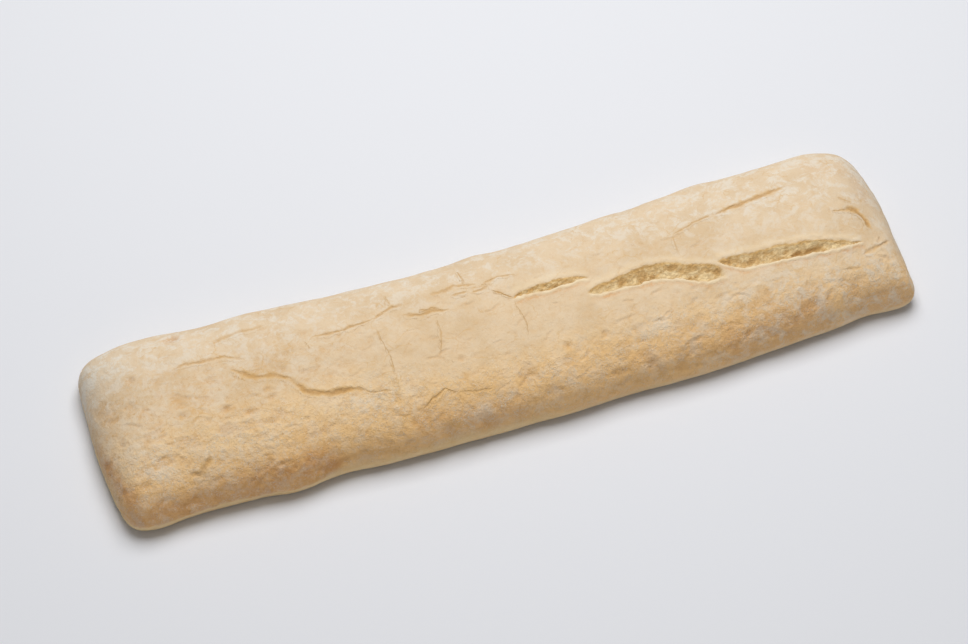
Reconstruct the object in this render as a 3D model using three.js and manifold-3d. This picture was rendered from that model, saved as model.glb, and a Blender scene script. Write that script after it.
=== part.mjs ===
// A long, flat, floured focaccia, baked in one piece: a straight-sided loaf with a low crown, a full
// side that rolls under to a flat base, four corners that each came out differently, and a crust that
// split open along the middle as it rose.
//
// Millimetres, +Z up. X runs along the loaf and Y across it. The origin is under the middle of the
// loaf's box, on the flat base. "Near" is -Y, "far" is +Y, "left" is -X and "right" is +X.

import * as THREE from 'three';
import { mergeVertices } from 'three/addons/utils/BufferGeometryUtils.js';
import Module from 'manifold-3d';

// Driving dimensions.
const LENGTH = 450;
const WIDTH = 108; // the box is wider, because the loaf is bowed
const HEIGHT = 36;

// Section across the loaf.
const BELLY_HEIGHT = 7; // where the side is widest
const BASE_INSET = 6; // how far the flat base stays inside the widest line
const CROWN_SHARPNESS = 2.6; // higher keeps the top flat for longer before it rolls over
const SHOULDER_ROUNDNESS = 2.1; // 2 is an ellipse, higher is a fuller shoulder

// Plan.
const HALF_LENGTH = LENGTH / 2;
const HALF_WIDTH = WIDTH / 2;
const CORNER_SQUARENESS = { nearLeft: 14, farLeft: 5.2, nearRight: 11, farRight: 4 }; // 2 is round
const BOW = 5.6; // how far the middle of the loaf bends towards -Y
const END_GRIP = 8; // higher keeps the swells of an end closer to that end

// Places where a side swelled out (or drew in, where push is negative), by where they are along it.
const SIDE_SWELLS = {
  near: [
    { at: -208, reach: 18, push: 2.6 },
    { at: -131, reach: 13, push: 1.9 },
    { at: -100, reach: 14, push: -1.6 },
    { at: 103, reach: 32, push: 1.4 },
    { at: 190, reach: 18, push: -2 },
  ],
  far: [
    { at: -206, reach: 13, push: -1.6 },
    { at: -133, reach: 14, push: 1.2 },
    { at: -32, reach: 95, push: -3.4 },
    { at: -1, reach: 10, push: 1.5 },
    { at: 131, reach: 12, push: 1.2 },
  ],
  left: [
    { at: -58, reach: 13, push: -5 },
    { at: -36, reach: 30, push: -2.6 },
    { at: 20, reach: 22, push: -2.1 },
  ],
  right: [
    { at: -42, reach: 13, push: -2.3 },
    { at: -20, reach: 17, push: -1.5 },
    { at: 32, reach: 18, push: -1.2 },
  ],
};

// Gentle unevenness of the top, as waves: height, wavelength along, wavelength across, phase.
const TOP_SWELLS = [
  { rise: 0.6, along: 210, across: 260, phase: 0.6 },
  { rise: 0.4, along: 96, across: 150, phase: 2.1 },
  { rise: 0.3, along: 61, across: 74, phase: 4.0 },
];

// Splits in the crust: middle, length, width and depth of each, its heading in degrees from +X, how far
// its middle bends to +Y, and the share of its width it loses towards its right end.
const SPLITS = [
  { x: 159, y: -16.5, length: 82, width: 12, depth: 6.5, heading: -7.5, bend: 1, taper: 0.4 },
  { x: 84, y: -10.5, length: 76, width: 11, depth: 6, heading: -9, bend: 5.5, taper: -0.2 },
  { x: 30, y: 3, length: 44, width: 4.5, depth: 3.5, heading: 0, bend: 1.5, taper: -0.2 },
  { x: -131, y: 0, length: 34, width: 3, depth: 2.5, heading: -31, bend: 0, taper: 0 },
  { x: -96, y: -21, length: 42, width: 3, depth: 2.5, heading: -23, bend: 0, taper: 0 },
  { x: 142, y: 22, length: 57, width: 2.5, depth: 2, heading: 7, bend: 0.5, taper: -0.3 },
];

// Mesh.
const EDGE_CELLS = 8;
const LENGTH_CELLS = 54;
const WIDTH_CELLS = 8;
const SPLIT_SEGMENTS = { around: 14, along: 16 };

// Places from -half to half, crowded towards both ends, where the surface turns down.
function stations(half, edge, edgeCells, middleCells) {
  const fromEnd = [];
  for (let i = 0; i < edgeCells; i++) {
    fromEnd.push(edge * (1 - Math.cos((i / edgeCells) * (Math.PI / 2))));
  }
  const low = fromEnd.map((distance) => distance - half);
  const high = low.map((place) => -place).reverse();
  const inner = half - edge;
  const middle = [];
  for (let i = 0; i <= middleCells; i++) middle.push(-inner + (2 * inner * i) / middleCells);
  return [...low, ...middle, ...high];
}

// A grid place moved so that the grid's rim becomes the rounded plan. ring is 0 on the loaf's spine
// and 1 on its widest line.
function planPlace(gridX, gridY) {
  const spineEnd = HALF_LENGTH - HALF_WIDTH;
  const out = Math.max(0, Math.abs(gridX) - spineEnd) / HALF_WIDTH;
  const side = Math.abs(gridY) / HALF_WIDTH;
  const ring = Math.max(out, side);
  const corner = (gridY < 0 ? 'near' : 'far') + (gridX < 0 ? 'Left' : 'Right');
  const squareness = CORNER_SQUARENESS[corner];
  const reach = (out ** squareness + side ** squareness) ** (1 / squareness);
  const shrink = reach > 0 ? ring / reach : 1;
  const x = out > 0 ? Math.sign(gridX) * (spineEnd + out * shrink * HALF_WIDTH) : gridX;
  return { x, y: gridY * shrink, ring };
}

function bell(distance, reach) {
  return Math.exp(-((distance / reach) ** 2));
}

function pushAt(swells, place) {
  return swells.reduce((sum, { at, reach, push }) => sum + push * bell(place - at, reach), 0);
}

// The plan as it came out of the oven: bowed, and swollen or drawn in along its sides.
function warped(x, y) {
  const nearness = Math.max(0, -y / HALF_WIDTH);
  const farness = Math.max(0, y / HALF_WIDTH);
  const leftness = Math.max(0, -x / HALF_LENGTH) ** END_GRIP;
  const rightness = Math.max(0, x / HALF_LENGTH) ** END_GRIP;
  return {
    x: x - leftness * pushAt(SIDE_SWELLS.left, y) + rightness * pushAt(SIDE_SWELLS.right, y),
    y:
      y -
      BOW * Math.cos((Math.PI * x) / LENGTH) -
      nearness * pushAt(SIDE_SWELLS.near, x) +
      farness * pushAt(SIDE_SWELLS.far, x),
  };
}

function topSwell(x, y) {
  return TOP_SWELLS.reduce((sum, { rise, along, across, phase }) => {
    const wave = Math.cos((2 * Math.PI * x) / along + phase);
    return sum + rise * wave * Math.cos((2 * Math.PI * y) / across + phase);
  }, 0);
}

function topHeight(x, y, ring) {
  const crown = (1 - ring ** CROWN_SHARPNESS) ** (1 / SHOULDER_ROUNDNESS);
  return BELLY_HEIGHT + (HEIGHT - BELLY_HEIGHT) * crown + topSwell(x, y) * crown;
}

function undersideHeight(ring) {
  const inset = Math.min(1, ((1 - ring) * HALF_WIDTH) / BASE_INSET);
  return BELLY_HEIGHT * (1 - Math.sqrt(1 - (1 - inset) ** 2));
}

// One sheet of the loaf over the whole grid, facing up or down.
function sheetGeometry(xs, ys, heightAt, facesUp) {
  const positions = [];
  for (const gridX of xs) {
    for (const gridY of ys) {
      const { x, y, ring } = planPlace(gridX, gridY);
      const place = warped(x, y);
      positions.push(place.x, place.y, heightAt(x, y, ring));
    }
  }
  const indices = [];
  for (let i = 0; i < xs.length - 1; i++) {
    for (let j = 0; j < ys.length - 1; j++) {
      const a = i * ys.length + j;
      const b = a + ys.length;
      const quad = [a, b, b + 1, a, b + 1, a + 1];
      indices.push(...(facesUp ? quad : quad.reverse()));
    }
  }
  return new THREE.BufferGeometry()
    .setAttribute('position', new THREE.Float32BufferAttribute(positions, 3))
    .setIndex(indices);
}

// A canoe-shaped cutter that leaves a boat-shaped hollow where the crust tore.
function splitGeometry({ x, y, length, width, depth, heading, bend, taper }) {
  const canoe = new THREE.SphereGeometry(1, SPLIT_SEGMENTS.around, SPLIT_SEGMENTS.along);
  canoe.rotateZ(-Math.PI / 2);
  const { position } = canoe.attributes;
  for (let i = 0; i < position.count; i++) {
    const along = position.getX(i);
    const across = (position.getY(i) * (1 - taper * along) * width) / 2 + bend * (1 - along ** 2);
    position.setXYZ(i, (along * length) / 2, across, position.getZ(i) * depth);
  }
  return canoe.rotateZ(THREE.MathUtils.degToRad(heading)).translate(x, y, HEIGHT);
}

const wasm = await Module();
wasm.setup();

function solidFrom(geometry) {
  geometry.deleteAttribute('normal');
  geometry.deleteAttribute('uv');
  const merged = mergeVertices(geometry, 1e-3);
  return new wasm.Manifold(
    new wasm.Mesh({
      numProp: 3,
      vertProperties: merged.attributes.position.array,
      triVerts: new Uint32Array(merged.index.array),
    }),
  );
}

function geometryFrom(solid) {
  const mesh = solid.getMesh();
  const geometry = new THREE.BufferGeometry()
    .setAttribute('position', new THREE.BufferAttribute(mesh.vertProperties, 3))
    .setIndex(new THREE.BufferAttribute(mesh.triVerts, 1));
  geometry.computeVertexNormals();
  return geometry;
}

function merge(geometries) {
  const positions = [];
  const indices = [];
  for (const geometry of geometries) {
    const start = positions.length / 3;
    positions.push(...geometry.attributes.position.array);
    indices.push(...Array.from(geometry.index.array, (index) => index + start));
  }
  return new THREE.BufferGeometry()
    .setAttribute('position', new THREE.Float32BufferAttribute(positions, 3))
    .setIndex(indices);
}

// The middle of the loaf's box goes over the origin, and its base on the ground.
function centred(geometry) {
  geometry.computeBoundingBox();
  const { min, max } = geometry.boundingBox;
  return geometry.translate(-(min.x + max.x) / 2, -(min.y + max.y) / 2, -min.z);
}

function loafGeometry() {
  const xs = stations(HALF_LENGTH, HALF_WIDTH, EDGE_CELLS, LENGTH_CELLS);
  const ys = stations(HALF_WIDTH, HALF_WIDTH * 0.6, EDGE_CELLS, WIDTH_CELLS);
  const top = sheetGeometry(xs, ys, topHeight, true);
  const underside = sheetGeometry(xs, ys, (x, y, ring) => undersideHeight(ring), false);
  let loaf = solidFrom(centred(merge([top, underside])));
  for (const split of SPLITS) loaf = loaf.subtract(solidFrom(splitGeometry(split)));
  return geometryFrom(loaf);
}

const crust = new THREE.MeshStandardMaterial({ color: 0xdcbc8c, roughness: 0.85, metalness: 0 });

const loaf = new THREE.Mesh(loafGeometry(), crust);
loaf.name = 'loaf';

const focaccia = new THREE.Group();
focaccia.add(loaf);

export default focaccia;
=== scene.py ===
# A long, flat, floured focaccia in one baked piece. The loaf's form repeats the CAD's dimensions, and
# the crust gets what the CAD leaves out or keeps plain: torn splits with open crumb, cracks, wrinkles,
# dents, browning and flour.
#
# The loaf's lengths are in millimetres until its mesh is made. The floor, lights and camera are in
# metres. X runs along the loaf, Y across it and Z up. "Near" is -Y, "far" is +Y, "left" is -X and
# "right" is +X.

import math

import bpy
import numpy as np
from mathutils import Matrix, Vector


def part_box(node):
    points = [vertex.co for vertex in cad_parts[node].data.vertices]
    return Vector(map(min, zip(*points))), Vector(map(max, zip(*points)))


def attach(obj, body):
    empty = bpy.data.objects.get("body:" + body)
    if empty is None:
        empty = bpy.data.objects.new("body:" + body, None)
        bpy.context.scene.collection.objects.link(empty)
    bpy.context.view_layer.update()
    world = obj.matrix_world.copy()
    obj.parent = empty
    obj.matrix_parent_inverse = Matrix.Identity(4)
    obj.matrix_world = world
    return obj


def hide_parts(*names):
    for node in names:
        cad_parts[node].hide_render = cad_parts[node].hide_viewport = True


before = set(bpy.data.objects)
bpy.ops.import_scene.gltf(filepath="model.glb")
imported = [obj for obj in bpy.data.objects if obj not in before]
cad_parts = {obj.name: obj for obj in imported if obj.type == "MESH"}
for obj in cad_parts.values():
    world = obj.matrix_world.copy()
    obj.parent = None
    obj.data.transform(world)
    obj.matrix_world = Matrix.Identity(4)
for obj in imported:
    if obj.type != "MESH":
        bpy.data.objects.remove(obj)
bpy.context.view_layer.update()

MM = 0.001
PER_METRE = 1000.0

# The loaf's form, as in the CAD.
LENGTH, WIDTH, HEIGHT = 450.0, 108.0, 36.0
BELLY_HEIGHT = 7.0
BASE_INSET = 6.0
CROWN_SHARPNESS = 2.6
SHOULDER_ROUNDNESS = 2.1
HALF_LENGTH, HALF_WIDTH = LENGTH / 2, WIDTH / 2
SPINE_END = HALF_LENGTH - HALF_WIDTH
CORNERS = {"near_left": 14, "far_left": 5.2, "near_right": 11, "far_right": 4}
BOW = 5.6
END_GRIP = 8

# Swells of the sides: where along the side, reach, push.
NEAR_SWELLS = [(-208, 18, 2.6), (-131, 13, 1.9), (-100, 14, -1.6), (103, 32, 1.4), (190, 18, -2)]
FAR_SWELLS = [(-206, 13, -1.6), (-133, 14, 1.2), (-32, 95, -3.4), (-1, 10, 1.5), (131, 12, 1.2)]
LEFT_SWELLS = [(-58, 13, -5), (-36, 30, -2.6), (20, 22, -2.1)]
RIGHT_SWELLS = [(-42, 13, -2.3), (-20, 17, -1.5), (32, 18, -1.2)]

# Waves of the top: rise, wavelength along, wavelength across, phase.
TOP_SWELLS = [(0.6, 210, 260, 0.6), (0.4, 96, 150, 2.1), (0.3, 61, 74, 4.0)]

# Mesh spacing.
FINE, COARSE = 0.6, 1.0
ALONG_FINE, ALONG_COARSE = FINE + 0.1, COARSE - 0.1
FINE_BAND, FINE_BAND_MIDDLE = 30, -3  # the splits and most cracks lie within this of its middle
FINE_FROM = -5  # the open splits are to the right of this
SIDE_RINGS, BASE_RINGS = 16, 7
BASE_CROWDING = 1.3  # over 1, the base's rings crowd towards its edge
ARC_SAMPLES = 40001

# The unwrap, as shares of the square: the top below, and the side and base above it.
UNWRAP_EDGE, UNWRAP_WIDTH = 0.01, 0.98
TOP_UNWRAP = 0.66
UNDER_UNWRAP_START, UNDER_UNWRAP = 0.69, 0.3

# Upward parts of the normals: a point is fully on the top from the first on, and on the base below the
# second.
TOP_FACING = 0.35
BASE_FACING = -0.97

# The three torn splits: the far lip and the near lip as (x, y), and the depth.
SPLITS = [
    {
        "far": [
            (118, -8.5), (124, -8.5), (136, -9), (150, -10),
            (165, -12.5), (175, -14), (184, -17), (199, -21),
        ],
        "near": [(118, -9), (124, -14.5), (131, -17.5), (150, -19), (165, -20.5), (182, -21.2), (199, -21.5)],
        "depth": 2.3,
    },
    {
        "far": [(46, -5.5), (53, -3), (66, -1), (80, 1), (91, -0.5), (104, -5.5), (117, -10.5), (121, -14.5)],
        "near": [
            (46, -6.5), (50, -8.3), (63, -8.2), (75, -9),
            (86, -9.2), (97, -13.5), (109, -19.5), (121, -19.5),
        ],
        "depth": 2.2,
    },
    {
        "far": [(7, 4), (14, 5.5), (24, 7.5), (34, 7.5), (42, 6.5), (51, 3.5)],
        "near": [(7, 3), (17, 2.5), (26, 2), (39, 2.5), (51, 3)],
        "depth": 1.5,
    },
]

# Cracks: points (x, y), the half width in the middle, the depth, and how brown they are inside.
CRACKS = [
    # The long double crack of the left half.
    ([(-147, 9.5), (-142, 5), (-135, 0.5), (-125, -1.5), (-119, -5.5), (-115, -10)], 1.6, 0.5, 0.7),
    ([(-119, -5.5), (-112, -16), (-104, -19.5), (-97, -21.5), (-90, -22.5), (-82, -25)], 1.9, 0.7, 0.85),
    ([(-90, -23), (-77, -27.5), (-69, -29.5)], 0.7, 0.5, 0.5),
    # Above it.
    ([(-177, 17.5), (-168, 19.5), (-159, 18.5), (-147, 18), (-137, 12.5)], 1.2, 0.7, 0.5),
    ([(-154, 28.5), (-145, 31.5), (-135, 32.5), (-121, 31.5)], 1.4, 0.5, 0.4),
    ([(-105, 13.5), (-103, 6.5)], 0.45, 0.2, 0.4),
    # Along the middle.
    ([(-101, 14.5), (-91, 13.5), (-83, 13.5), (-75, 14.5), (-65, 15.5)], 0.9, 0.5, 0.6),
    ([(-67, 14.5), (-61, 17.5), (-54, 19.5), (-48, 19.5)], 1.2, 0.6, 0.55),
    ([(-51.5, 12), (-42, 9), (-36, 9.5), (-30.5, 8), (-26, 8)], 1.4, 0.4, 0.7),
    ([(-42.5, 12.5), (-38, 11), (-35, 11.5), (-31, 9)], 1.1, 0.3, 0.65),
    ([(-34, 20.5), (-26, 20.5), (-19, 22.5), (-8, 18.5)], 1.3, 0.5, 0.55),
    ([(-23.5, 16), (-19, 15.5), (-13.5, 15)], 1.2, 0.3, 0.6),
    ([(-12, 13.5), (-2, 15.5)], 1.1, 0.4, 0.55),
    ([(-5, 17.5), (4, 19.5), (14, 16.5)], 0.8, 0.4, 0.5),
    ([(-2, 12.5), (3, 8.5), (8, 3.5)], 0.6, 0.5, 0.8),
    # Fine cross cracks.
    ([(-67, 8.5), (-66, -1.5), (-65, -11.5), (-66, -21.5)], 0.4, 0.2, 0.45),
    ([(-34, 5.5), (-35, -4.5), (-37, -10.5), (-40, -18.5)], 0.4, 0.2, 0.4),
    ([(8, 1.5), (8, -6.5), (9, -14.5), (8, -21.5)], 0.4, 0.2, 0.4),
    ([(-14, 33.5), (-13, 21.5)], 0.5, 0.25, 0.5),
    ([(-55, 29.5), (-55, 20.5)], 0.45, 0.2, 0.4),
    ([(102, 14), (101, 7), (101, 1)], 0.45, 0.2, 0.35),
    # Low on the near side.
    ([(-58, -42.5), (-52, -40), (-44, -36), (-41, -37.5), (-37, -39.5)], 0.6, 0.6, 0.7),
    ([(-37, -39.5), (-29, -41.5), (-19, -42.5)], 0.8, 0.4, 0.4),
    # The right half.
    ([(102, 15), (113, 18.5), (123, 20.5), (130, 21)], 0.8, 0.5, 0.5),
    ([(126, 20.5), (135, 22), (149, 23.5), (161, 25.5), (172, 26.5)], 1.7, 0.8, 0.8),
    ([(188, 1), (194, 0.8), (199, 1.4)], 0.6, 0.4, 0.6),
    ([(196.5, 1), (200, 1.4), (203, 0), (205, -3), (206.5, -7), (207.5, -13)], 1.5, 0.9, 0.9),
    ([(195, 10), (203, 5.5)], 0.7, 0.4, 0.4),
    ([(195, -28.5), (202, -26.5), (209, -23.5), (216, -20.5)], 1.2, 0.7, 0.5),
    ([(183, -33.5), (193, -34.5)], 0.8, 0.4, 0.4),
    # The folded crescent low on the left.
    ([(-184, -41.5), (-178, -41.5), (-173, -39), (-170.5, -36), (-170, -33)], 1.7, 0.6, 0.55),
]
CRACK_LIMIT = 3.0  # a crack's colour reaches no further than this, in half widths

# Dents: x, y, radius, depth.
DENTS = [
    (-156, -13.5, 1.7, 0.8),
    (-144, -18.5, 1.7, 0.8),
    (-132, -14.5, 1.5, 0.6),
    (-177, -10.5, 1.7, 0.6),
    (-198, 20.5, 1.5, 0.6),
    (-170, 40.5, 2.4, 0.9),
    (-165, -17.5, 1.4, 0.5),
    (-31, -23.5, 1.3, 0.6),
    (26, -31.5, 1.5, 0.7),
    (66, -51, 2.2, 0.9),
    (47, -31.5, 1.5, 0.6),
    (-46, -54, 2.4, 0.7),
    (-26, -54, 2.2, 0.7),
]
DENT_STRETCH = 1.3  # along over across
DENT_SPAN = 9  # no dent or pit reaches further than this

# Small wrinkles and pits scattered over the crust, more of them towards the near side.
WRINKLES, PITS = 170, 110
WRINKLE_SEED, PIT_SEED = 21, 8

# Browned places: from (x, y) to (x, y), radius, strength.
BROWNED = [
    ((-223, -4), (-221, -16), 2.2, 0.5),
    ((-221, -16), (-218, -38), 2.8, 1.1),
    ((-217, -40), (-213, -53), 5, 0.9),
    ((-207, -52), (-151, -51), 6, 0.85),
    ((-151, -51), (-125, -52), 6, 1.0),
    ((-122, -50), (-109, -53), 6, 1.1),
    ((-100, -51), (-59, -53), 5, 0.25),
    ((-59, -50), (-7, -54), 6, 0.5),
    ((-7, -54), (59, -53), 6, 0.2),
    ((59, -50), (119, -50), 6, 0.25),
    ((112, -51), (163, -47), 7, 0.6),
    ((181, -47), (213, -49), 5, 0.4),
    ((212, 10), (213, 24), 5, 0.3),
    ((191, 36.5), (205, 28.5), 7, 0.2),
    ((-172, 40), (-168, 41), 3, 0.7),
]

# Places where more flour stayed on: x, y, reach along, reach across, strength.
FLOURED = [
    (-220, 32, 9, 20, 1.1),
    (-206, 38.5, 14, 12, 0.6),
    (-201, -30.5, 14, 18, 0.7),
    (-161, -35.5, 24, 10, 0.5),
    (-81, -31.5, 26, 8, 0.8),
    (-66, -23.5, 14, 7, 0.6),
    (79, -35.5, 22, 9, 0.6),
    (114, -30.5, 18, 8, 0.35),
    (164, -33.5, 30, 8, 0.3),
    (204, -35.5, 14, 12, 0.4),
    (19, -45, 24, 7, 0.45),
    (-21, -50, 26, 5, 0.5),
    (214, 3.5, 8, 22, 0.4),
]

# Colours, as usual 0 to 255 values.
COLOURS = {
    "cream": (229, 204, 170),
    "warm cream": (220, 192, 154),
    # The near and low side's golds are golden crust, lightened with painted light on the side that faces away
    # from the lamps.
    "near side": (244, 208, 156),
    "low side's gold and painted light": (252, 198, 122),
    "blotch": (218, 172, 112),
    "spot": (202, 152, 92),
    # The next two colours are painted shade: the first darkens every place where the crust sinks in, the
    # second the dimples, dents and wrinkles.
    "sunken_painted_shade": (206, 160, 104),
    "fold": (200, 150, 88),
    "browned": (204, 146, 86),
    "flour film": (232, 221, 204),
    "flour specks": (240, 232, 216),
    "hairline": (214, 172, 112),
    # The rolled side is pale crust, lightened further with painted light.
    "rolled side": (241, 215, 166),
    "rolled side's streaks": (226, 190, 132),
    "base": (206, 164, 110),
    "base's flour": (224, 200, 162),
    "base's blotches": (190, 144, 90),
    "crack's edge": (218, 176, 112),
    "crack's bottom": (188, 138, 76),
    "crumb": (242, 216, 168),
    # The crumb's dips, pores and hollows and the split's far wall are painted shade.
    "crumb's dips' painted shade": (222, 186, 130),
    "crumb's pores' painted shade": (200, 158, 100),
    "crumb's hollows' painted shade": (178, 134, 76),
    "split's far wall's painted shade": (218, 172, 104),
    "split's blush": (222, 166, 110),
    "split's lip": (248, 228, 192),
}

# The floor, the lights and the camera.
FLOOR_COLOUR = (0.80, 0.812, 0.855, 1.0)
FLOOR_HALF = 6.0
FLOOR_GAP = 0.0001
SKY_COLOUR, SKY_STRENGTH = (0.96, 0.975, 1.0, 1.0), 0.175
SOFTBOX = {
    "place": (0.13, 0.4, 1.3),
    "target": (0.05, 0, 0),
    "size": (0.9, 1.0),
    "power": 17.7,
    "colour": (1.0, 0.995, 0.98),
}
CARD = {
    "place": (-0.1, -1.2, 0.4),
    "target": (0, 0, 0),
    "size": (1.6, 0.5),
    "power": 1.15,
    "colour": (1.0, 0.93, 0.8),
}
CAMERA_AZIMUTH, CAMERA_ELEVATION = -18.8, 56.6
CAMERA_DISTANCE = 1.6
CAMERA_LENS, CAMERA_SENSOR = 111.2, 36
AIM_SHIFT = (-0.0074, 0.0071)
AIM_HEIGHT = 0.015


# ---------------------------------------------------------------- noise

# Large odd numbers that scramble a lattice point.
HASH_STEPS = (374761393, 668265263, 2147483647)
HASH_SEED_STEP = 974634777
HASH_MIXERS = (1274126177, 2246822519)
SEED_SHIFT = 0.37
ROUGH_NOISE_SCALE = 1.6  # brings summed octaves back to about -1 to 1


def lattice_hash(cells, seed):
    """A number from 0 to 1 for each whole-numbered lattice point."""
    mixed = sum(cells[..., axis] * step for axis, step in enumerate(HASH_STEPS))
    mixed = (mixed + seed * HASH_SEED_STEP) & 0xFFFFFFFF
    mixed = ((mixed ^ (mixed >> 13)) * HASH_MIXERS[0]) & 0xFFFFFFFF
    mixed = ((mixed ^ (mixed >> 16)) * HASH_MIXERS[1]) & 0xFFFFFFFF
    return ((mixed ^ (mixed >> 15)) & 0xFFFFFF) / float(0xFFFFFF)


def noise(points, size, seed=0):
    """Smooth value noise from -1 to 1 whose lumps are about size across."""
    place = points / size + SEED_SHIFT * seed
    cell = np.floor(place).astype(np.int64)
    part = place - cell
    ease = part * part * part * (part * (part * 6 - 15) + 10)
    total = np.zeros(len(points))
    for corner in np.ndindex(2, 2, 2):
        step = np.array(corner)
        share = np.prod(np.where(step == 1, ease, 1 - ease), axis=1)
        total += share * lattice_hash(cell + step, seed)
    return total * 2 - 1


def rough_noise(points, size, octaves, seed=0, keep=0.5):
    """Noise with finer noise on it: each octave is half the size and has keep of the last one's height."""
    total, gain, reach = np.zeros(len(points)), 1.0, 0.0
    for octave in range(octaves):
        total += gain * noise(points, size / 2**octave, seed + octave)
        reach += gain
        gain *= keep
    return total / reach * ROUGH_NOISE_SCALE


def smooth(value, low, high):
    """0 up to low, 1 from high on, and an S curve between them."""
    t = np.clip((value - low) / (high - low), 0, 1)
    return t * t * (3 - 2 * t)


def bell(distance, reach):
    return np.exp(-((distance / reach) ** 2))


# ---------------------------------------------------------------- form


def plan_place(grid_x, grid_y):
    """Grid places moved so that the grid's rim becomes the rounded plan, and their ring: 0 on the
    loaf's spine and 1 on its widest line."""
    out = np.maximum(0, np.abs(grid_x) - SPINE_END) / HALF_WIDTH
    side = np.abs(grid_y) / HALF_WIDTH
    ring = np.maximum(out, side)
    near = np.where(grid_x < 0, CORNERS["near_left"], CORNERS["near_right"])
    far = np.where(grid_x < 0, CORNERS["far_left"], CORNERS["far_right"])
    power = np.where(grid_y < 0, near, far)
    reach = (out**power + side**power) ** (1 / power)
    shrink = np.where(reach > 0, ring / np.maximum(reach, 1e-9), 1)
    bent = np.sign(grid_x) * (SPINE_END + out * shrink * HALF_WIDTH)
    return np.where(out > 0, bent, grid_x), grid_y * shrink, ring


def push(swells, place):
    return sum(amount * bell(place - at, reach) for at, reach, amount in swells)


def warped(x, y):
    """The plan bowed, and swollen or drawn in along its sides."""
    nearness = np.maximum(0, -y / HALF_WIDTH)
    farness = np.maximum(0, y / HALF_WIDTH)
    leftness = np.maximum(0, -x / HALF_LENGTH) ** END_GRIP
    rightness = np.maximum(0, x / HALF_LENGTH) ** END_GRIP
    along = x - leftness * push(LEFT_SWELLS, y) + rightness * push(RIGHT_SWELLS, y)
    bow = BOW * np.cos(math.pi * x / LENGTH)
    across = y - bow - nearness * push(NEAR_SWELLS, x) + farness * push(FAR_SWELLS, x)
    return along, across


def crown(ring):
    return (1 - np.minimum(ring, 1) ** CROWN_SHARPNESS) ** (1 / SHOULDER_ROUNDNESS)


def top_points(grid_x, grid_y):
    x, y, ring = plan_place(grid_x, grid_y)
    swell = sum(
        rise * np.cos(2 * math.pi * x / along + phase) * np.cos(2 * math.pi * y / across + phase)
        for rise, along, across, phase in TOP_SWELLS
    )
    z = BELLY_HEIGHT + (HEIGHT - BELLY_HEIGHT + swell) * crown(ring)
    return np.stack([*warped(x, y), z], axis=-1)


def under_points(grid_x, grid_y, ring):
    x, y, _ = plan_place(grid_x, grid_y)
    inset = min(1, (1 - ring) * HALF_WIDTH / BASE_INSET)
    z = BELLY_HEIGHT * (1 - math.sqrt(max(0, 1 - (1 - inset) ** 2)))
    return np.stack([*warped(x, y), np.full_like(x, z)], axis=-1)


def stations(half, spine, spacing):
    """Places from -half to half, evenly spaced over the surface, and their share of its length."""
    angle = np.linspace(-math.pi / 2, math.pi / 2, ARC_SAMPLES)
    g = half * np.sin(angle)
    height = (HEIGHT - BELLY_HEIGHT) * crown(np.maximum(0, np.abs(g) - spine) / HALF_WIDTH)
    arc = np.concatenate([[0], np.cumsum(np.hypot(np.diff(g), np.diff(height)))])
    cost = np.concatenate([[0], np.cumsum(np.diff(arc) / spacing((g[1:] + g[:-1]) / 2))])
    marks = np.linspace(0, cost[-1], int(round(cost[-1])) + 1)
    places = np.interp(marks, cost, g)
    places[0], places[-1] = -half, half
    return places, np.interp(marks, cost, arc) / arc[-1]


def spacing_along(g):
    return np.where(g > FINE_FROM, ALONG_FINE, ALONG_COARSE)


def spacing_across(g):
    return np.where(np.abs(g - FINE_BAND_MIDDLE) < FINE_BAND, FINE, COARSE)


def rim_insets():
    """How far each ring under the widest line is from it: the side's rings, then the base's."""
    turn = np.linspace(0, math.pi / 2, SIDE_RINGS + 1)[1:]
    base = np.linspace(0, 1, BASE_RINGS + 1)[1:] ** BASE_CROWDING
    return list(BASE_INSET * (1 - np.cos(turn))) + list(BASE_INSET + (HALF_WIDTH - BASE_INSET) * base)


def under_quads(loops, depth, along):
    """Quads between each ring and the next, and the unwrapped places of their corners."""
    quads, places = [], []
    u, u2 = along[:-1], along[1:]
    for k in range(len(loops) - 1):
        a, b = loops[k], loops[k + 1]
        quads.append(np.stack([np.roll(a, -1), a, b, np.roll(b, -1)], axis=1))
        top, low = (UNDER_UNWRAP_START + UNDER_UNWRAP * depth[k + step] for step in (0, 1))
        corners = [(u2, top), (u, top), (u, low), (u2, low)]
        places.append(np.stack([np.stack([c, np.full_like(c, v)], -1) for c, v in corners], axis=1))
    return quads, places


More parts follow.
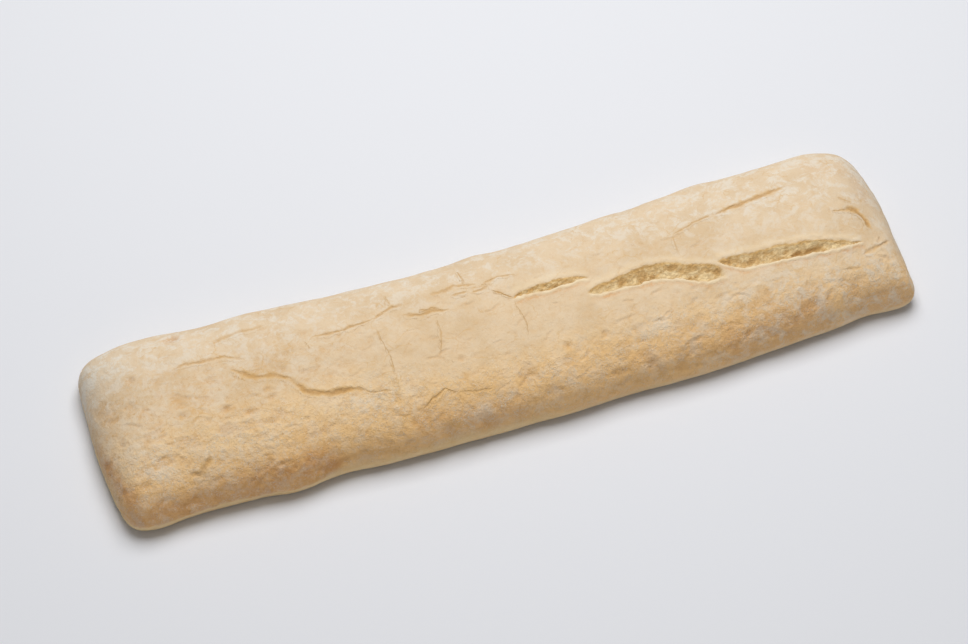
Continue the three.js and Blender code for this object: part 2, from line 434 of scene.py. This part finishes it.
def loaf_form():
    """Points, quads and the unwrapped place of each quad's corners."""
    xs, us = stations(HALF_LENGTH, SPINE_END, spacing_along)
    ys, vs = stations(HALF_WIDTH, 0, spacing_across)
    grid_x, grid_y = np.meshgrid(xs, ys, indexing="ij")
    nx, ny = grid_x.shape
    number = np.arange(nx * ny).reshape(nx, ny)
    points = [top_points(grid_x.ravel(), grid_y.ravel())]
    corners = [number[:-1, :-1], number[1:, :-1], number[1:, 1:], number[:-1, 1:]]
    top_quads = np.stack([c.ravel() for c in corners], axis=1)
    top_places = [UNWRAP_EDGE + UNWRAP_WIDTH * us, UNWRAP_EDGE + TOP_UNWRAP * vs]
    unwrap = np.stack(np.meshgrid(*top_places, indexing="ij"), axis=-1)

    rim = np.concatenate([number[:, 0], number[-1, 1:], number[-2::-1, -1], number[0, -2:0:-1]])
    rim_x, rim_y = grid_x.ravel()[rim], grid_y.ravel()[rim]
    loops, depth = [rim], [0.0]
    start = nx * ny
    for inset in rim_insets():
        ring = 1 - inset / HALF_WIDTH
        out = np.maximum(0, np.abs(rim_x) - SPINE_END)
        x = np.where(out > 0, np.sign(rim_x) * (SPINE_END + out * ring), rim_x)
        points.append(under_points(x, rim_y * ring, ring))
        loops.append(start + np.arange(len(rim)))
        step = np.linalg.norm(points[-1] - points[-2], axis=1).mean() if len(loops) > 2 else 1.0
        depth.append(depth[-1] + step)
        start += len(rim)
    along = np.linspace(UNWRAP_EDGE, 1 - UNWRAP_EDGE, len(rim) + 1)
    quads, places = under_quads(loops, np.array(depth) / depth[-1], along)
    quads.insert(0, top_quads)
    places.insert(0, unwrap.reshape(-1, 2)[top_quads])
    return np.concatenate(points), np.concatenate(quads), np.concatenate(places)


# ---------------------------------------------------------------- crust


def path_distance(x, y, path):
    """Signed distance across a path, and how far along it the nearest place is, from 0 to 1."""
    path = np.array(path, dtype=float)
    lengths = np.linalg.norm(np.diff(path, axis=0), axis=1)
    total, before = lengths.sum(), 0.0
    best = np.full(len(x), 1e9)
    signed, along = np.zeros(len(x)), np.zeros(len(x))
    for (ax, ay), (bx, by), length in zip(path[:-1], path[1:], lengths):
        ux, uy = (bx - ax) / length, (by - ay) / length
        t = np.clip((x - ax) * ux + (y - ay) * uy, 0, length)
        dx, dy = x - ax - ux * t, y - ay - uy * t
        away = np.hypot(dx, dy)
        side = np.where(ux * (y - ay) - uy * (x - ax) >= 0, 1.0, -1.0)
        closer = away < best
        best = np.where(closer, away, best)
        signed = np.where(closer, away * side, signed)
        along = np.where(closer, (before + t) / total, along)
        before += length
    return signed, along


def chance(y, near_edge, far_edge, least, power):
    """How likely a scattered mark is: 1 at the near edge, and least at the far one."""
    return least + (1 - least) * (1 - (y - near_edge) / (far_edge - near_edge)) ** power


def scattered_pits():
    """Each pit's x, y, radius, depth, heading and stretch."""
    draw = np.random.default_rng(PIT_SEED)
    near_edge, far_edge = -50, 44
    pits = []
    while len(pits) < PITS:
        x, y = draw.uniform(-212, 212), draw.uniform(near_edge, far_edge)
        if draw.random() < chance(y, near_edge, far_edge, 0.15, 1.5):
            radius, depth = draw.uniform(0.5, 1.2), draw.uniform(0.12, 0.4)
            heading, stretch = draw.normal(0, 0.5), draw.uniform(1.3, 2.6)
            pits.append((x, y, radius, depth, heading, stretch))
    return pits


def scattered_wrinkles():
    """Each wrinkle's middle (x, y), its length, its path, its depth and its half width."""
    draw = np.random.default_rng(WRINKLE_SEED)
    near_edge, far_edge = -52, 44
    t = np.linspace(-0.5, 0.5, 5)
    wrinkles = []
    while len(wrinkles) < WRINKLES:
        x, y = draw.uniform(-215, 210), draw.uniform(near_edge, far_edge)
        fewer = 0.35 if x > 0 else 1.0
        if draw.random() > fewer * chance(y, near_edge, far_edge, 0.12, 1.3):
            continue
        length, heading = draw.uniform(5, 15), draw.normal(0, 0.45)
        bend, depth, half_width = draw.normal(0, 0.22), draw.uniform(0.12, 0.42), draw.uniform(0.5, 0.9)
        path_x = x + length * t * math.cos(heading) - length * bend * t * t * 4 * math.sin(heading)
        path_y = y + length * t * math.sin(heading) + length * bend * t * t * 4 * math.cos(heading)
        wrinkles.append((x, y, length, list(zip(path_x, path_y)), depth, half_width))
    return wrinkles


class Crust:
    """What the crust does at each point of the loaf: how far it moves, and what shows there."""

    def __init__(self, points, upward):
        self.points = points
        self.x, self.y, self.z = points.T
        self.upward = upward  # 0 on the side and the base, 1 on the top
        self.move = np.zeros(len(points))
        self.masks = {}
        # The rough, golden near half, whose colour is partly painted light: it reaches further up the loaf on
        # the left.
        rough_from = 2 + 14 * smooth(self.x, -95, -25)
        self.near = smooth(-self.y - rough_from, 0, 28) * smooth(self.z, 4, 12)
        # Places that wander a little, so that what is drawn along a line comes out ragged.
        flat = np.stack([self.x, self.y, np.zeros(len(points))], axis=1)
        self.lip_x = self.x + 1.3 * rough_noise(flat, 9, octaves=3, seed=11)
        self.lip_y = self.y + 1.1 * rough_noise(flat, 7, octaves=4, seed=12, keep=0.6)

    def wandering(self, share):
        """Places moved by a share of the way to the wandering ones."""
        return self.x + share * (self.lip_x - self.x), self.y + share * (self.lip_y - self.y)

    def add_lumps(self):
        low = smooth(self.z, 0.2, 5)
        p = self.points
        lumps = 0.5 * rough_noise(p, 34, octaves=2, seed=20) + 0.24 * rough_noise(p, 13, octaves=2, seed=22)
        knobs = rough_noise(p * [0.85, 1.15, 1], 4, octaves=3, seed=27, keep=0.7)
        busy = 0.3 + 0.7 * self.near
        # Dimples and short folds, most of them on the left and along the near side.
        folded = rough_noise(p * [0.62, 1.15, 1], 7.5, octaves=4, seed=24, keep=0.62)
        dimple = smooth(folded, 0.12, 0.75)
        crowded = np.maximum(0.85 * self.near, smooth(-self.x, 55, 130) * smooth(-self.y, -32, 2))
        small = rough_noise(p * [0.7, 1.1, 1], 3.4, octaves=2, seed=31, keep=0.6)
        small = small * (1 - 0.6 * smooth(-self.x, 60, 130))
        self.move += low * (lumps + 0.15 * busy * knobs + (0.08 + 0.42 * crowded) * (0.35 - dimple))
        self.move += low * crowded * 0.1 * small
        # Painted shade in the bottoms of the dimples.
        self.masks["golden"] = 0.6 * crowded * dimple * smooth(self.z, 8, 15)
        self.masks["busy"] = crowded

    def add_near_ridge(self):
        """The browned ridge along the near side, and the pale, hollow strip under it, whose paleness is
        partly painted light.
        """
        side = smooth(-self.y, 36, 46)
        left = smooth(-self.x, 95, 125)
        grip = 0.2 + 0.8 * left * smooth(self.x, -222, -205)
        self.move += side * grip * (0.8 * bell(self.z - 11, 3) - 0.6 * bell(self.z - 5.5, 2.5))
        middle = smooth(self.x, -125, -100) * smooth(-self.x, -50, 20)
        top_edge = 6.5 + 2 * left + 5 * middle + 1.5 * noise(self.points, 18, seed=71)
        soft = 1.2 + 3.0 * middle + 1.5 * smooth(self.x, -20, 40)
        strength = 0.55 + 0.35 * left + 0.25 * middle
        # The pale strip is paler crust painted lighter still: partly painted light on this steep, downward
        # side.
        self.masks["pale"] = strength * (1 - smooth(self.z, top_edge - soft, top_edge + soft))
        self.masks["base"] = 1 - smooth(self.z, 0.2, 1.6)

    def add_dents(self):
        golden = self.masks["golden"]
        dents = [(*dent, 0.0, DENT_STRETCH) for dent in DENTS]
        for x, y, radius, depth, heading, stretch in dents + scattered_pits():
            spot = np.flatnonzero((np.abs(self.x - x) < DENT_SPAN) & (np.abs(self.y - y) < DENT_SPAN))
            dx, dy = self.lip_x[spot] - x, self.lip_y[spot] - y
            along = dx * math.cos(heading) + dy * math.sin(heading)
            across = dy * math.cos(heading) - dx * math.sin(heading)
            away = np.hypot(along / stretch, across)
            lift = 0.35 * bell(away - 2 * radius, 0.8 * radius) - bell(away, radius)
            self.move[spot] += depth * lift * self.upward[spot]
            # Painted shade in the dent.
            golden[spot] = np.maximum(golden[spot], min(0.7, depth) * bell(away, 1.2 * radius))

    def add_wrinkles(self):
        golden = self.masks["golden"]
        for x, y, length, path, depth, half_width in scattered_wrinkles():
            spot = np.flatnonzero((np.abs(self.x - x) < length) & (np.abs(self.y - y) < length))
            signed, along = path_distance(self.lip_x[spot], self.lip_y[spot], path)
            ends = np.clip(np.minimum(along, 1 - along) * 4, 0, 1)
            fold = 0.8 * bell(signed - 1.3 * half_width, half_width) - bell(signed, half_width)
            self.move[spot] += self.upward[spot] * ends * depth * fold
            # Painted shade along the wrinkle's middle.
            shade = 0.8 * depth * ends * bell(signed, half_width)
            golden[spot] = np.maximum(golden[spot], shade)

    def add_cracks(self):
        nearest = np.full(len(self.x), CRACK_LIMIT)
        strength = np.zeros(len(self.x))
        x, y = self.wandering(0.6)
        for number, (path, half_width, depth, brownness) in enumerate(CRACKS):
            signed, along = path_distance(x, y, path)
            ends = np.clip(np.minimum(along, 1 - along) * 5, 0, 1) ** 0.6
            uneven = 0.75 + 0.9 * rough_noise(self.points, 6, octaves=3, seed=60 + number)
            ragged = rough_noise(self.points, 3.2, octaves=3, seed=120 + number, keep=0.7)
            signed = signed + (0.1 + 0.3 * half_width) * ragged
            width = half_width * (0.3 + 0.7 * ends) * np.clip(uneven, 0.7, 1.3)
            scaled = signed / width
            inside = np.clip(1 - np.abs(scaled), 0, 1)
            torn = np.clip(0.75 + 0.6 * noise(self.points, 2.2, seed=90 + number), 0.3, 1.3)
            lift = bell(np.abs(signed) - width - 0.8, 1.0) * (np.abs(signed) > width * 0.6)
            self.move += self.upward * ends * depth * (0.16 * lift - 0.8 * torn * inside**0.8)
            mine = self.upward * ends * smooth(-np.abs(signed), -4, -2.5) * brownness
            wins = (mine > 0.02) & (np.abs(scaled) < np.abs(nearest))
            nearest = np.where(wins, np.clip(scaled, -CRACK_LIMIT, CRACK_LIMIT), nearest)
            strength = np.where(wins, mine, strength)
        self.masks["crack_across"] = nearest
        self.masks["crack_strength"] = strength

    def add_splits(self):
        crumb, hollow, wall, lip, blush = (np.zeros(len(self.x)) for _ in range(5))
        x, _ = self.wandering(0.4)
        stretched = self.points * [0.6, 1, 1]
        torn = rough_noise(stretched, 3.4, octaves=4, seed=47, keep=0.75)
        for split in SPLITS:
            far, near = np.array(split["far"], float), np.array(split["near"], float)
            far_y = np.interp(x, far[:, 0], far[:, 1])
            near_y = np.interp(x, near[:, 0], near[:, 1])
            width = np.maximum(far_y - near_y, 0.2)
            across = (self.lip_y - near_y) / width  # 0 on the near lip, 1 on the far lip
            from_near, from_far = across * width, (1 - across) * width
            left_end, right_end = far[0, 0], far[-1, 0]
            ends = smooth(x, left_end - 0.5, left_end + 2.5) * smooth(-x, -right_end - 0.5, -right_end + 4)
            on_top = self.upward * ends

            trough = smooth(across, -0.03, 0.22) * (1 - smooth(across, 0.3, 1.0))
            self.move -= on_top * split["depth"] * np.clip(width / 9, 0.3, 1) * trough
            inside = smooth(from_near, -0.2, 0.5) * smooth(from_far, -0.3, 0.6)
            crumb = np.maximum(crumb, inside * on_top)
            low_part = 0.45 + 0.7 * bell(across - 0.22, 0.2)
            # Where the crumb sinks further; its colour there is painted shade.
            sunken_painted_shade = np.clip(low_part * smooth(torn, 0.1, 0.8), 0, 1)
            hollow = np.maximum(hollow, inside * on_top * sunken_painted_shade)
            # Painted shade along the far wall of the split.
            wall = np.maximum(wall, inside * on_top * bell(from_far - 0.7, 0.9 + 0.5 * torn))

            rim = bell(from_near + 0.8, 1.0)
            self.move += on_top * (0.6 * rim + 0.35 * bell(from_far + 1.2, 1.3))
            ragged_rim = rim * (0.55 + 0.6 * smooth(torn, -0.4, 0.3))
            far_rim = 0.35 * bell(from_far + 2.5, 2.6)
            lip = np.maximum(lip, on_top * np.maximum(ragged_rim, far_rim))
            blush = np.maximum(blush, on_top * bell(from_near + 2.4, 1.2))
        ragged = 0.38 * torn + 0.25 * rough_noise(stretched, 1.6, octaves=2, seed=53)
        self.move -= crumb * (ragged + 0.6 * hollow)
        self.masks["crumb"] = crumb
        self.masks["torn"] = torn
        # The hollow and wall masks carry painted shade into the crumb's colour.
        self.masks["hollow"] = hollow
        self.masks["wall"] = wall
        self.masks["lip"] = lip * (1 - crumb)
        self.masks["blush"] = blush * (1 - crumb)

    def add_colour_masks(self):
        brown = np.zeros(len(self.x))
        for start, end, radius, strength in BROWNED:
            away, _ = path_distance(self.lip_x, self.lip_y, [start, end])
            brown = np.maximum(brown, strength * bell(away, radius))
        flour = np.zeros(len(self.x))
        for x, y, along, across, strength in FLOURED:
            away = np.hypot((self.x - x) / along, (self.y - y) / across)
            flour = np.maximum(flour, strength * bell(away, 1))
        crumb = self.masks["crumb"]
        self.masks["brown"] = brown * smooth(self.z, 5, 10) * (1 - crumb)
        self.masks["flour"] = flour * (1 - crumb)
        self.masks["near"] = self.near
        # The low part of the near side, whose gold is partly painted light.
        self.masks["low"] = smooth(-self.y, 26, 48) * smooth(self.z, 3, 10)
        self.masks["far"] = np.clip(smooth(self.y, -8, 40) + 0.5 * smooth(self.x, 40, 180), 0, 1)
        # The relief also sets painted shade in the sunken places.
        self.masks["relief"] = self.move

    def build(self):
        self.add_lumps()
        self.add_near_ridge()
        self.add_dents()
        self.add_wrinkles()
        self.add_cracks()
        self.add_splits()
        self.add_colour_masks()


def placed_on_cad(points):
    """Points moved so that their box has its middle and its base where the CAD's loaf has them."""
    low, high = points.min(axis=0), points.max(axis=0)
    box_low, box_high = (np.array(corner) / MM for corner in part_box("loaf"))
    points[:, :2] += ((box_low + box_high) / 2 - (low + high) / 2)[:2]
    points[:, 2] += box_low[2] - low[2]
    return points


def finished_loaf():
    points, quads, places = loaf_form()
    points = placed_on_cad(points)
    mesh = bpy.data.meshes.new("focaccia_loaf")
    mesh.from_pydata(points * MM, [], quads.tolist())
    mesh.update()
    normals = np.empty(len(points) * 3)
    mesh.vertices.foreach_get("normal", normals)
    normals = normals.reshape(-1, 3)

    crust = Crust(points, smooth(normals[:, 2], 0.0, TOP_FACING))
    crust.build()
    moved = points + normals * crust.move[:, None]
    base = normals[:, 2] < BASE_FACING
    moved[:, 2] = np.where(base, np.maximum(points[:, 2], 0), np.maximum(moved[:, 2], 0.0))
    mesh.vertices.foreach_set("co", (moved * MM).ravel())
    for name, values in crust.masks.items():
        mesh.attributes.new(name, "FLOAT", "POINT").data.foreach_set("value", values.astype(np.float32))
    layer = mesh.uv_layers.new(name="OFBake")
    layer.data.foreach_set("uv", places.reshape(-1, 2).ravel().astype(np.float32))
    mesh.polygons.foreach_set("use_smooth", np.ones(len(quads), dtype=bool))
    mesh.update()
    loaf = bpy.data.objects.new("focaccia_loaf", mesh)
    bpy.context.scene.collection.objects.link(loaf)
    return loaf


# ---------------------------------------------------------------- materials


def linear(red, green, blue):
    """A colour from its usual 0 to 255 values."""
    def channel(value):
        value /= 255
        return value / 12.92 if value <= 0.04045 else ((value + 0.055) / 1.055) ** 2.4

    return (channel(red), channel(green), channel(blue), 1.0)


class Nodes:
    """Short names for the nodes that the materials are made of."""

    def __init__(self, name):
        self.material = bpy.data.materials.new(name)
        self.material.use_nodes = True
        self.tree = self.material.node_tree
        self.shader = self.tree.nodes["Principled BSDF"]

    def add(self, kind, inputs=(), **settings):
        node = self.tree.nodes.new(kind)
        for key, value in settings.items():
            setattr(node, key, value)
        for key, value in dict(inputs).items():
            if isinstance(value, bpy.types.NodeSocket):
                self.tree.links.new(value, node.inputs[key])
            else:
                node.inputs[key].default_value = value
        return node

    def math(self, operation, a, b=0.0):
        return self.add("ShaderNodeMath", {0: a, 1: b}, operation=operation).outputs[0]

    def times(self, a, b):
        return self.math("MULTIPLY", a, b)

    def plus(self, a, b):
        return self.math("ADD", a, b)

    def vector(self, operation, a, b):
        return self.add("ShaderNodeVectorMath", {0: a, 1: b}, operation=operation).outputs[0]

    def scaled(self, where, factors):
        return self.vector("MULTIPLY", where, factors)

    def ramp(self, value, low, high, to_low=0.0, to_high=1.0):
        inputs = {"Value": value, "From Min": low, "From Max": high, "To Min": to_low, "To Max": to_high}
        return self.add("ShaderNodeMapRange", inputs, interpolation_type="SMOOTHSTEP").outputs[0]

    def mix(self, share, a, b):
        return self.add("ShaderNodeMix", {0: share, 6: a, 7: b}, data_type="RGBA").outputs[2]

    def over(self, colour, name, share):
        """The colour with a named one laid over it where share is high."""
        return self.mix(share, colour, linear(*COLOURS[name]))

    def mask(self, name):
        return self.add("ShaderNodeAttribute", attribute_name=name).outputs["Fac"]

    def noise(self, where, size, detail=3.0, roughness=0.55, distortion=0.0):
        inputs = {
            "Vector": where,
            "Scale": 1 / size,
            "Detail": detail,
            "Roughness": roughness,
            "Distortion": distortion,
        }
        return self.add("ShaderNodeTexNoise", inputs).outputs["Fac"]

    def wandering(self, where, size, amount):
        """Places moved by noise, up to half of amount either way in each direction."""
        inputs = {"Vector": where, "Scale": 1 / size, "Detail": 3.0}
        drift = self.add("ShaderNodeTexNoise", inputs).outputs["Color"]
        centred = self.vector("SUBTRACT", drift, (0.5, 0.5, 0.5))
        return self.vector("ADD", where, self.scaled(centred, (amount, amount, amount)))

    def cell_edges(self, where, size):
        """The distance to the nearest border between scattered cells."""
        inputs = {"Vector": where, "Scale": 1 / size}
        return self.add("ShaderNodeTexVoronoi", inputs, feature="DISTANCE_TO_EDGE").outputs["Distance"]


class CrustMaterial(Nodes):
    """The loaf's colour, laid on in layers, and the height and roughness that go with it."""

    def __init__(self):
        super().__init__("floured_crust")
        place = self.add("ShaderNodeTexCoord").outputs["Object"]
        self.mm = self.scaled(place, (PER_METRE, PER_METRE, PER_METRE))
        self.near, self.busy = self.mask("near"), self.mask("busy")
        self.flour_stayed, self.crumb = self.mask("flour"), self.mask("crumb")
        self.blotch = self.ramp(self.noise(self.mm, 7, 5, 0.8, 0.4), 0.44, 0.7)

        colour, baked = self.browned(self.dough_with_painted_light_and_shade())
        colour, dusting = self.floured(colour)
        colour = self.hairlined(colour)
        colour = self.rolled_under(colour)
        colour, line = self.cracked(colour)
        colour, fine = self.split_open(colour)
        bump = {"Height": self.height(dusting, line, fine), "Strength": 1.0, "Distance": MM}
        normal = self.add("ShaderNodeBump", bump).outputs[0]
        uneven = self.times(self.noise(self.mm, 5, 2), 0.3)
        roughness = self.ramp(self.plus(baked, uneven), 0.1, 1.0, 0.9, 0.7)
        for socket, value in [("Base Color", colour), ("Roughness", roughness), ("Normal", normal)]:
            self.tree.links.new(value, self.shader.inputs[socket])
        self.shader.inputs["Specular IOR Level"].default_value = 0.22

    def dough_with_painted_light_and_shade(self):
        """Cream, with warmer areas and golden mottling that gathers towards the near side. The near side's
        golds are partly painted light, and the sunken places and folds get painted shade.
        """
        tone = self.ramp(self.noise(self.mm, 24, 3, 0.6), 0.35, 0.65)
        colour = self.over(linear(*COLOURS["cream"]), "warm cream", tone)
        # Painted light: the near side's gold is lighter than the crust there, standing in for light the near
        # side doesn't get.
        colour = self.over(colour, "near side", self.times(self.near, 0.75))
        # Painted light as well on the low side's gold.
        colour = self.over(colour, "low side's gold and painted light", self.times(self.mask("low"), 0.5))
        blotched = self.plus(0.24, self.times(self.busy, 0.34))
        colour = self.over(colour, "blotch", self.times(self.blotch, blotched))
        spots = self.ramp(self.noise(self.mm, 2.2, 5, 0.8, 0.3), 0.52, 0.66)
        spotted = self.plus(0.2, self.times(self.busy, 0.26))
        colour = self.over(colour, "spot", self.times(spots, spotted))
        # Painted shade where the crust sinks in: dents, cracks, splits and dimples.
        colour = self.over(colour, "sunken_painted_shade", self.ramp(self.mask("relief"), -0.25, -1.2, 0.0, 0.3))
        # Painted shade in the dimples, dents and wrinkles, where the golden mask is high.
        return self.over(colour, "fold", self.times(self.mask("golden"), 0.6))

    def browned(self, colour):
        """The browned ridges, and how baked each place is."""
        patchy = self.ramp(self.noise(self.mm, 6, 5, 0.75, 0.6), 0.3, 0.62)
        baked = self.times(self.mask("brown"), self.plus(0.4, self.times(patchy, 0.45)))
        return self.over(colour, "browned", baked), baked

    def floured(self, colour):
        """A thin film of flour in patches, and specks of it caught on the high places."""
        far = self.mask("far")
        patches = self.ramp(self.noise(self.mm, 9, 6, 0.8, 0.4), 0.45, 0.6)
        crust_share = self.plus(self.times(self.busy, 0.16), self.times(self.flour_stayed, 0.2))
        share = self.plus(self.plus(0.1, self.times(far, 0.54)), crust_share)
        film = self.times(self.plus(self.times(far, 0.3), patches), share)
        heaped = self.ramp(self.noise(self.mm, 3, 4, 0.75), 0.35, 0.6, 0.02, 0.3)
        film = self.plus(film, self.times(self.flour_stayed, heaped))
        colour = self.over(colour, "flour film", film)
        specks = self.ramp(self.noise(self.mm, 0.8, 3, 0.75), 0.52, 0.6)
        drifts = self.ramp(self.noise(self.mm, 5, 3, 0.7), 0.42, 0.62)
        stayed = self.plus(self.times(self.near, 0.25), self.times(self.flour_stayed, 0.4))
        dusting = self.times(self.times(specks, drifts), self.plus(0.16, stayed))
        return self.over(colour, "flour specks", dusting), dusting

    def hairlined(self, colour):
        """Hairlines where the floured skin stretched."""
        wavy = self.scaled(self.wandering(self.mm, 5, 6.0), (0.8, 1.2, 1.0))
        lines = self.ramp(self.cell_edges(wavy, 11), 0.035, 0.0)
        lines = self.times(lines, self.ramp(self.noise(self.mm, 16, 3, 0.6), 0.45, 0.65))
        return self.over(colour, "hairline", self.times(lines, 0.5))

    def rolled_under(self, colour):
        """The rolled-under side stayed pale and is painted lighter still as painted light, and the base is
        golden under its flour.
        """
        streaks = self.ramp(self.noise(self.scaled(self.mm, (0.35, 1.0, 1.0)), 3.5, 4, 0.7), 0.42, 0.65)
        rolled = self.over(linear(*COLOURS["rolled side"]), "rolled side's streaks", self.times(streaks, 0.6))
        # Painted light: the pale rolled side is laid on lighter than the crust's own paleness.
        colour = self.mix(self.times(self.mask("pale"), 0.85), colour, rolled)
        floured = self.ramp(self.noise(self.mm, 14, 6, 0.75, 0.4), 0.4, 0.64)
        underside = self.over(linear(*COLOURS["base"]), "base's flour", floured)
        underside = self.over(underside, "base's blotches", self.times(self.blotch, 0.5))
        return self.mix(self.mask("base"), colour, underside)

    def cracked(self, colour):
        """Cracks are golden, and browner at the bottom."""
        across = self.math("ABSOLUTE", self.mask("crack_across"))
        strength = self.mask("crack_strength")
        grainy = self.ramp(self.noise(self.mm, 1.6, 3, 0.7), 0.3, 0.6, 0.55, 1.0)
        halo = self.times(strength, self.ramp(across, 1.7, 0.7))
        colour = self.over(colour, "crack's edge", self.times(halo, 0.7))
        line = self.times(self.times(strength, grainy), self.ramp(across, 0.9, 0.15))
        return self.over(colour, "crack's bottom", self.times(line, 0.7)), line

    def split_open(self, colour):
        """Straw and gold crumb with painted brown shade in its dips, pores and hollows and on the split's far
        wall, and a bright torn lip around it.
        """
        # Painted shade: the crumb darkens where it is torn deeper, in its pores and in its hollows.
        dips = self.ramp(self.mask("torn"), -0.5, 0.35)
        crumb = self.over(linear(*COLOURS["crumb"]), "crumb's dips' painted shade", dips)
        fine = self.noise(self.scaled(self.mm, (0.6, 1.0, 1.0)), 1.3, 4, 0.75, 0.5)
        fine = self.ramp(fine, 0.44, 0.62)
        crumb = self.over(crumb, "crumb's pores' painted shade", self.times(fine, 0.4))
        crumb = self.over(crumb, "crumb's hollows' painted shade", self.times(self.mask("hollow"), 0.7))
        # Painted shade on the split's far wall, which faces away from the light.
        crumb = self.over(crumb, "split's far wall's painted shade", self.times(self.mask("wall"), 0.7))
        blushing = self.times(self.mask("blush"), self.plus(0.2, self.times(self.blotch, 0.6)))
        colour = self.over(colour, "split's blush", blushing)
        colour = self.over(colour, "split's lip", self.times(self.mask("lip"), 0.75))
        return self.mix(self.crumb, colour, crumb), fine

    def height(self, dusting, line, fine):
        """The finest unevenness, in millimetres."""
        grain = self.times(self.noise(self.mm, 1.1, 2, 0.7), self.plus(0.26, self.times(self.near, 0.14)))
        creases = self.times(self.noise(self.mm, 3.0, 3, 0.7), self.plus(0.42, self.times(self.near, 0.35)))
        height = self.plus(self.plus(grain, creases), self.times(dusting, 0.15))
        height = self.plus(height, self.times(line, -0.35))
        return self.plus(height, self.times(self.times(fine, self.crumb), -0.2))


def floor_material():
    n = Nodes("pale_table")
    n.shader.inputs["Base Color"].default_value = FLOOR_COLOUR
    n.shader.inputs["Roughness"].default_value = 0.9
    n.shader.inputs["Specular IOR Level"].default_value = 0.1
    return n.material


# ---------------------------------------------------------------- scene


def add_floor():
    half = FLOOR_HALF
    corners = [(-half, -half, 0), (half, -half, 0), (half, half, 0), (-half, half, 0)]
    mesh = bpy.data.meshes.new("table")
    mesh.from_pydata(corners, [], [(0, 1, 2, 3)])
    floor = bpy.data.objects.new("table", mesh)
    floor.location.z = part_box("loaf")[0][2] - FLOOR_GAP
    floor.data.materials.append(floor_material())
    bpy.context.scene.collection.objects.link(floor)


def add_light(name, place, target, size, power, colour):
    light = bpy.data.lights.new(name, "AREA")
    light.shape = "RECTANGLE"
    light.size, light.size_y = size
    light.energy = power
    light.color = colour
    lamp = bpy.data.objects.new(name, light)
    lamp.location = place
    aim = Vector(target) - Vector(place)
    lamp.rotation_euler = aim.to_track_quat("-Z", "Y").to_euler()
    bpy.context.scene.collection.objects.link(lamp)


def add_lights():
    world = bpy.data.worlds.new("studio")
    world.use_nodes = True
    background = world.node_tree.nodes["Background"]
    background.inputs["Color"].default_value = SKY_COLOUR
    background.inputs["Strength"].default_value = SKY_STRENGTH
    bpy.context.scene.world = world
    add_light("softbox", **SOFTBOX)
    add_light("card", **CARD)


def add_camera():
    azimuth, elevation = math.radians(CAMERA_AZIMUTH), math.radians(CAMERA_ELEVATION)
    low, high = (Vector(corner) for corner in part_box("loaf"))
    target = (low + high) / 2
    target += Vector((*AIM_SHIFT, AIM_HEIGHT - target.z))
    back = Vector(
        (
            math.sin(azimuth) * math.cos(elevation),
            -math.cos(azimuth) * math.cos(elevation),
            math.sin(elevation),
        )
    )
    data = bpy.data.cameras.new("camera")
    data.sensor_width = CAMERA_SENSOR
    data.lens = CAMERA_LENS
    camera = bpy.data.objects.new("camera", data)
    camera.location = target + back * CAMERA_DISTANCE
    camera.rotation_euler = (-back).to_track_quat("-Z", "Y").to_euler()
    bpy.context.scene.collection.objects.link(camera)
    bpy.context.scene.camera = camera


def main():
    loaf = finished_loaf()
    loaf.data.materials.append(CrustMaterial().material)
    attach(loaf, "root")
    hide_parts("loaf")
    add_floor()
    add_lights()
    add_camera()
    bpy.context.scene.view_settings.view_transform = "Standard"


main()
